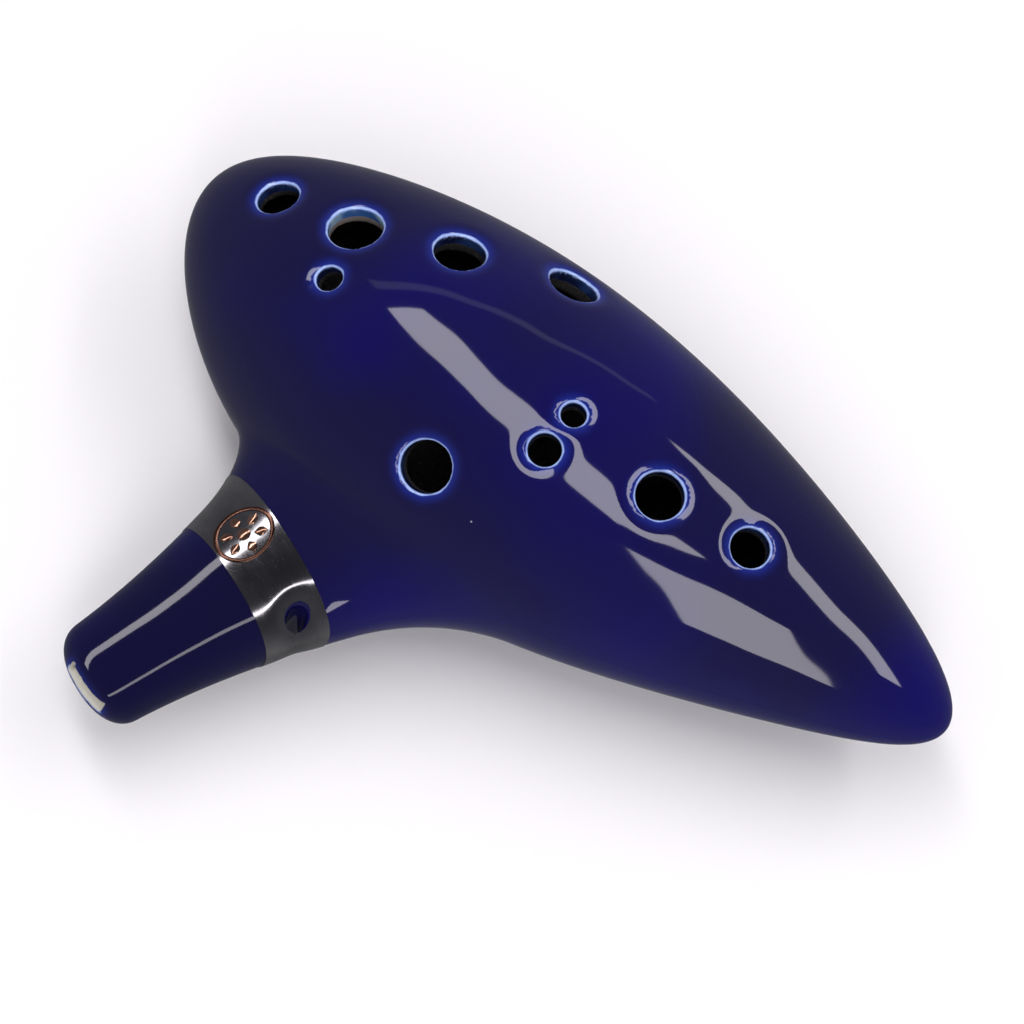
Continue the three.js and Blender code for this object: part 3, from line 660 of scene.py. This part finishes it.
# %% A small material writer
class Finish:
    """The nodes of a material, or of the world. add() returns the output that later nodes read."""

    def __init__(self, owner):
        owner.use_nodes = True
        self.owner, self.tree = owner, owner.node_tree
        self.tree.nodes.clear()

    def add(self, kind, settings=(), inputs=(), output=0):
        node = self.tree.nodes.new(kind)
        for key, value in dict(settings).items():
            if key == "stops":
                for stop, (position, colour) in zip([*node.color_ramp.elements] + [None] * len(value), value):
                    stop = stop or node.color_ramp.elements.new(position)
                    stop.position, stop.color = position, colour
            else:
                setattr(node, key, value)
        for key, value in dict(inputs).items():
            if isinstance(value, Signal):
                self.tree.links.new(value.socket, node.inputs[key])
            else:
                node.inputs[key].default_value = value
        return Signal(self, node.outputs[output])

    def close(self, shader, kind="ShaderNodeOutputMaterial"):
        self.tree.links.new(shader.socket, self.tree.nodes.new(kind).inputs["Surface"])
        print(self.owner.name, len(self.tree.nodes), "nodes")
        return self.owner


class Signal:
    """A socket that takes part in sums."""

    def __init__(self, finish, socket):
        self.finish, self.socket = finish, socket

    def math(self, operation, first, second):
        return self.finish.add("ShaderNodeMath", {"operation": operation}, {0: first, 1: second})

    def __add__(self, other):
        return self.math("ADD", self, other)

    __radd__ = __add__

    def __sub__(self, other):
        return self.math("SUBTRACT", self, other)

    def __rsub__(self, other):
        return self.math("SUBTRACT", other, self)

    def __mul__(self, other):
        return self.math("MULTIPLY", self, other)

    __rmul__ = __mul__

    def eased(self, low, high):
        """0 up to low, 1 from high on, and a smooth rise between."""
        return self.finish.add("ShaderNodeMapRange", {"interpolation_type": "SMOOTHSTEP"},
                               {"Value": self, "From Min": low, "From Max": high})


def tint(finish, factor, first, second):
    return finish.add("ShaderNodeMix", {"data_type": "RGBA"}, {0: factor, 6: first, 7: second}, 2)


def noise(finish, place, scale, detail=2.0, roughness=0.5):
    return finish.add("ShaderNodeTexNoise", {}, {"Vector": place, "Scale": scale, "Detail": detail,
                                                 "Roughness": roughness})


# %% [markdown]
# ## The cobalt glaze
# Cobalt glaze is a deep clear blue. Where it lies thick it is nearly navy, and where it runs thin
# over a rim it breaks to bright blue and then to a white line. It pools unevenly, carries a few
# specks of kiln dust, and its surface is very slightly wavy, which bends the reflections.

# %% Mix the glaze
NAVY = (0.0070, 0.0058, 0.043, 1)
COBALT = (0.0050, 0.0034, 0.092, 1)
THIN_BLUE = (0.013, 0.030, 0.29, 1)
RIM_WHITE = (0.40, 0.54, 0.95, 1)

glaze = Finish(bpy.data.materials.new("cobalt_glaze"))
place = glaze.add("ShaderNodeTexCoord", output="Object")
rim = glaze.add("ShaderNodeAttribute", {"attribute_name": "rim"}, output="Fac")
slot = glaze.add("ShaderNodeAttribute", {"attribute_name": "slot"}, output="Fac")
bare = glaze.add("ShaderNodeAttribute", {"attribute_name": "bare"}, output="Fac")
thin = glaze.add("ShaderNodeAttribute", {"attribute_name": "thin"}, output="Fac")
pools = noise(glaze, place, 17, 2)
ragged = noise(glaze, place, 420, 2)
flecks = noise(glaze, place, 1500, 3, 0.7)
glaze_colour = tint(glaze, pools.eased(0.40, 0.66), NAVY, COBALT)
ragged_rim = rim + (ragged - 0.5) * 0.45
halo = 1 - ragged_rim.eased(-0.6, 3.4)
glaze_colour = tint(glaze, halo * halo * 0.95, glaze_colour, THIN_BLUE)
white_line = (1 - ragged_rim.eased(0.22, 0.55)) * rim.eased(-0.25, 0.0)
glaze_colour = tint(glaze, white_line, glaze_colour, RIM_WHITE)

# %% Down in the holes
# Painted shade: down the holes the glaze walls are painted darker and the bare clay near black.
SHADED_WALL_NAVY, WALL_BLUE = (0.004, 0.007, 0.030, 1), (0.012, 0.030, 0.10, 1)
# Painted light: the wide second hole's wall glaze and bare clay are painted paler, as if lit.
LIT_WALL_NAVY, LIT_WALL_PALE = (0.03, 0.09, 0.26, 1), (0.28, 0.42, 0.50, 1)
SHADED_CLAY, LIT_HOLE_CLAY = (0.008, 0.007, 0.007, 1), (0.16, 0.135, 0.12, 1)
WINDWAY_CLAY, GROG = (0.74, 0.73, 0.64, 1), (0.30, 0.26, 0.20, 1)

wall_cloud = noise(glaze, place, 210, 2).eased(0.38, 0.68)
shaded_wall = tint(glaze, wall_cloud, SHADED_WALL_NAVY, WALL_BLUE)
painted_lit_wall = tint(glaze, wall_cloud, LIT_WALL_NAVY, LIT_WALL_PALE)
in_hole = 1 - rim.eased(0.0, 0.16)
# Painted shade down the holes, and painted light in the wide second hole.
glaze_colour = tint(glaze, in_hole, glaze_colour, tint(glaze, thin, shaded_wall, painted_lit_wall))
clay_colour = tint(glaze, thin, SHADED_CLAY, LIT_HOLE_CLAY)
clay_colour = tint(glaze, flecks.eased(0.55, 0.8) * 0.35, clay_colour, GROG)
in_windway = 1 - slot.eased(0.10, 0.38)
clay_colour = tint(glaze, in_windway, clay_colour, WINDWAY_CLAY)
bare_edge = (bare + (ragged - 0.5) * 0.5).eased(0.4, 0.6)
bare_edge = bare_edge + in_windway - bare_edge * in_windway

# %% Dust specks and the wavy surface
DUST = (0.45, 0.46, 0.52, 1)
scatter = {"Vector": place, "Scale": 190, "Randomness": 1.0}
specks = glaze.add("ShaderNodeTexVoronoi", {"feature": "F1"}, scatter, "Distance")
speck_pick = glaze.add("ShaderNodeTexVoronoi", {"feature": "F1"}, scatter, "Color")
rare = glaze.add("ShaderNodeSeparateColor", {}, {0: speck_pick}).eased(0.93, 0.95)
speck = (1 - specks.eased(0.02, 0.045)) * rare
glaze_colour = tint(glaze, speck * 0.6, glaze_colour, DUST)
colour = tint(glaze, bare_edge, glaze_colour, clay_colour)
roughness = 0.035 + pools * 0.03 + bare_edge * 0.75 + speck * 0.3
waves = noise(glaze, place, 34, 1) * 2.8 + noise(glaze, place, 80, 0) * 0.35
grit = flecks * bare_edge
relief = waves + grit * 0.3 + speck * 0.1
bumped = glaze.add("ShaderNodeBump", {}, {"Strength": 0.5, "Distance": 0.0005, "Height": relief})
glaze_material = glaze.close(glaze.add("ShaderNodeBsdfPrincipled", {}, {
    "Base Color": colour, "Roughness": roughness, "Normal": bumped, "IOR": 1.5}))
for piece in clay_pieces.values():
    piece.data.materials.append(glaze_material)

# %% [markdown]
# ## The metal lustres
# Silver lustre is a dark mirror. Brush marks run round the neck with it, and pinholes and a
# slightly worn edge keep it from looking like foil. The copper is the same recipe, warmer.

# %% Silver and copper
def lustre(name, dark, bright, shine, stretch, wear):
    metal = Finish(bpy.data.materials.new(name))
    place = metal.add("ShaderNodeTexCoord", output="Object")
    turned = metal.add("ShaderNodeMapping", {"vector_type": "TEXTURE"}, {
        "Vector": place, "Rotation": band_frame.to_euler(), "Scale": stretch})
    strokes = noise(metal, turned, 900, 3, 0.6)
    cloud = noise(metal, place, 130, 3)
    pinholes = noise(metal, place, 2600, 1, 0.4).eased(0.70, 0.76)
    colour = tint(metal, cloud.eased(0.3, 0.7), dark, bright)
    colour = tint(metal, pinholes * wear, colour, (0.02, 0.02, 0.05, 1))
    roughness = shine + strokes * 0.10 + pinholes * 0.25
    relief = strokes * 0.6 + cloud
    bumped = metal.add("ShaderNodeBump", {}, {"Strength": 0.12, "Distance": 0.0002, "Height": relief})
    return metal.close(metal.add("ShaderNodeBsdfPrincipled", {}, {
        "Base Color": colour, "Roughness": roughness, "Metallic": 1.0, "Normal": bumped}))


silver = lustre("silver_lustre", (0.26, 0.26, 0.27, 1), (0.40, 0.39, 0.40, 1), 0.06, (6.0, 1.0, 6.0), 0.8)
copper = lustre("copper_lustre", (0.42, 0.22, 0.15, 1), (0.62, 0.36, 0.25, 1), 0.10, (3.0, 1.0, 3.0), 0.5)
umber = lustre("umber_lustre", (0.13, 0.065, 0.045, 1), (0.22, 0.11, 0.08, 1), 0.16, (3.0, 1.0, 3.0), 0.5)
band.data.materials.append(silver)
for node, piece in rosette.items():
    piece.data.materials.append(umber if node == "rosette_ring" else copper)

# %% [markdown]
# ## Floor
# The floor is plain and pale, so nothing competes with the glaze. Mirror rays pass through it,
# as if the instrument stood on a narrow stand, so the glaze stays dark underneath.

# %% Floor
bpy.ops.mesh.primitive_plane_add(size=8)
floor = bpy.context.object
floor.name = "studio_floor"
floor.visible_glossy = False
paper = Finish(bpy.data.materials.new("pale_paper"))
paper_place = paper.add("ShaderNodeTexCoord", output="Object")
paper_tone = tint(paper, noise(paper, paper_place, 3), (0.90, 0.90, 0.90, 1), (0.93, 0.93, 0.93, 1))
floor.data.materials.append(paper.close(paper.add("ShaderNodeBsdfDiffuse", {}, {"Color": paper_tone})))

# %% [markdown]
# ## Softboxes
# A glossy glaze shows its surroundings, so lights are shapes. Three long softboxes and a faint
# fourth draw the streaks on the egg. On the beak and its band they would draw one streak, low on
# the side, so those pieces have two strips of their own instead, and light linking keeps the two
# sets apart. A wide fill lights everything softly and doesn't show in the glaze.

# %% Softboxes
CEILING = 900


def softbox(name, centre, axis, length, width, brightness):
    """A flat light above the part. Its centre and sizes are shares of the ceiling's height."""
    lamp = bpy.data.lights.new(name, "AREA")
    lamp.shape = "RECTANGLE"
    lamp.size, lamp.size_y = length * CEILING / 1000, width * CEILING / 1000
    lamp.color = (1.0, 0.965, 1.0)
    lamp.energy = brightness * pi * lamp.size * lamp.size_y
    light = bpy.data.objects.new(name, lamp)
    light.location = Vector((centre[0] * CEILING, centre[1] * CEILING, CEILING)) / 1000
    light.rotation_euler = (0, 0, np.arctan2(axis[1], axis[0]))
    bpy.context.scene.collection.objects.link(light)
    return light


body_lights = [
    softbox("softbox_over", (-0.161, 0.141), (0.862, -0.507), 1.02, 0.22, 6.0),
    softbox("softbox_front", (0.671, -0.798), (0.45, -0.893), 1.07, 0.31, 5.6),
    softbox("softbox_tail", (0.528, 0.561), (0.581, -0.814), 1.14, 0.20, 6.0),
    softbox("softbox_faint", (-0.449, 1.10), (0.536, 0.844), 1.5, 0.09, 0.45),
]
beak_way = np.array(band_frame.to_3x3() @ Vector((0, -1, 0)))[:2]
beak_lights = [
    softbox("strip_high", (-0.60, -0.12), beak_way, 1.30, 0.13, 6.0),
    softbox("strip_low", (0.12, -0.39), beak_way, 1.00, 0.07, 4.5),
]
fill = softbox("fill", (0.0, 0.0), (1, 0), 3.6, 3.6, 0.62)
fill.visible_glossy = False


def shine_only_on(lights, pieces):
    """Light linking: these lights reach these pieces and no others."""
    lit = bpy.data.collections.new("lit_by_" + lights[0].name)
    for piece in pieces:
        lit.objects.link(piece)
    for light in lights:
        light.light_linking.receiver_collection = lit


shine_only_on(beak_lights, [clay_pieces["glazed_mouthpiece"], band, *rosette.values()])
shine_only_on(body_lights, [clay_pieces["glazed_front"], clay_pieces["glazed_back"], floor])

# %% [markdown]
# ## Dim air
# What the lights leave dark still shows, faintly, as a sheen near the outline. So the air is dim
# all round, a little brighter near the horizon and darkest overhead.

# %% Air, darkest overhead
AIR_STOPS = [(0.0, (0.17, 0.17, 0.18, 1)), (0.35, (0.22, 0.22, 0.23, 1)),
             (0.66, (0.15, 0.15, 0.17, 1)), (0.97, (0.05, 0.05, 0.06, 1))]
world = bpy.data.worlds.new("studio_air")
bpy.context.scene.world = world
air = Finish(world)
direction = air.add("ShaderNodeTexCoord", output="Generated")
rise = air.add("ShaderNodeSeparateXYZ", {}, {0: direction}, 2) * 0.5 + 0.5
glow = air.add("ShaderNodeValToRGB", {"stops": AIR_STOPS}, {0: rise})
air.close(air.add("ShaderNodeBackground", {}, {"Color": glow}), "ShaderNodeOutputWorld")

# %% [markdown]
# ## Camera
# A long lens from well above keeps the egg's outline true. It looks from between the beak and the
# tail, a little rolled.

# %% Camera
CAMERA_TURN, CAMERA_HEIGHT, CAMERA_ROLL = radians(41.32), radians(70.41), radians(-3.05)
CAMERA_AIM, CAMERA_DISTANCE = Vector((0.0151, -0.0079, 0.0236)), 0.6505
LENS, SENSOR = 126.56, 36
toward = Vector((sin(CAMERA_TURN) * cos(CAMERA_HEIGHT), -cos(CAMERA_TURN) * cos(CAMERA_HEIGHT),
                 sin(CAMERA_HEIGHT)))
level = Vector((cos(CAMERA_TURN), sin(CAMERA_TURN), 0))
upright = toward.cross(level)
right = level * cos(CAMERA_ROLL) + upright * sin(CAMERA_ROLL)
camera = bpy.data.objects.new("camera", bpy.data.cameras.new("camera"))
camera.data.lens, camera.data.sensor_width = LENS, SENSOR
camera.matrix_world = Matrix.Translation(CAMERA_AIM + toward * CAMERA_DISTANCE) @ Matrix(
    (right, toward.cross(right), toward)).transposed().to_4x4()
bpy.context.scene.collection.objects.link(camera)
bpy.context.scene.camera = camera
bpy.context.scene.view_settings.view_transform = "Standard"
print("camera", round(camera.location.length, 3), "m from the origin")
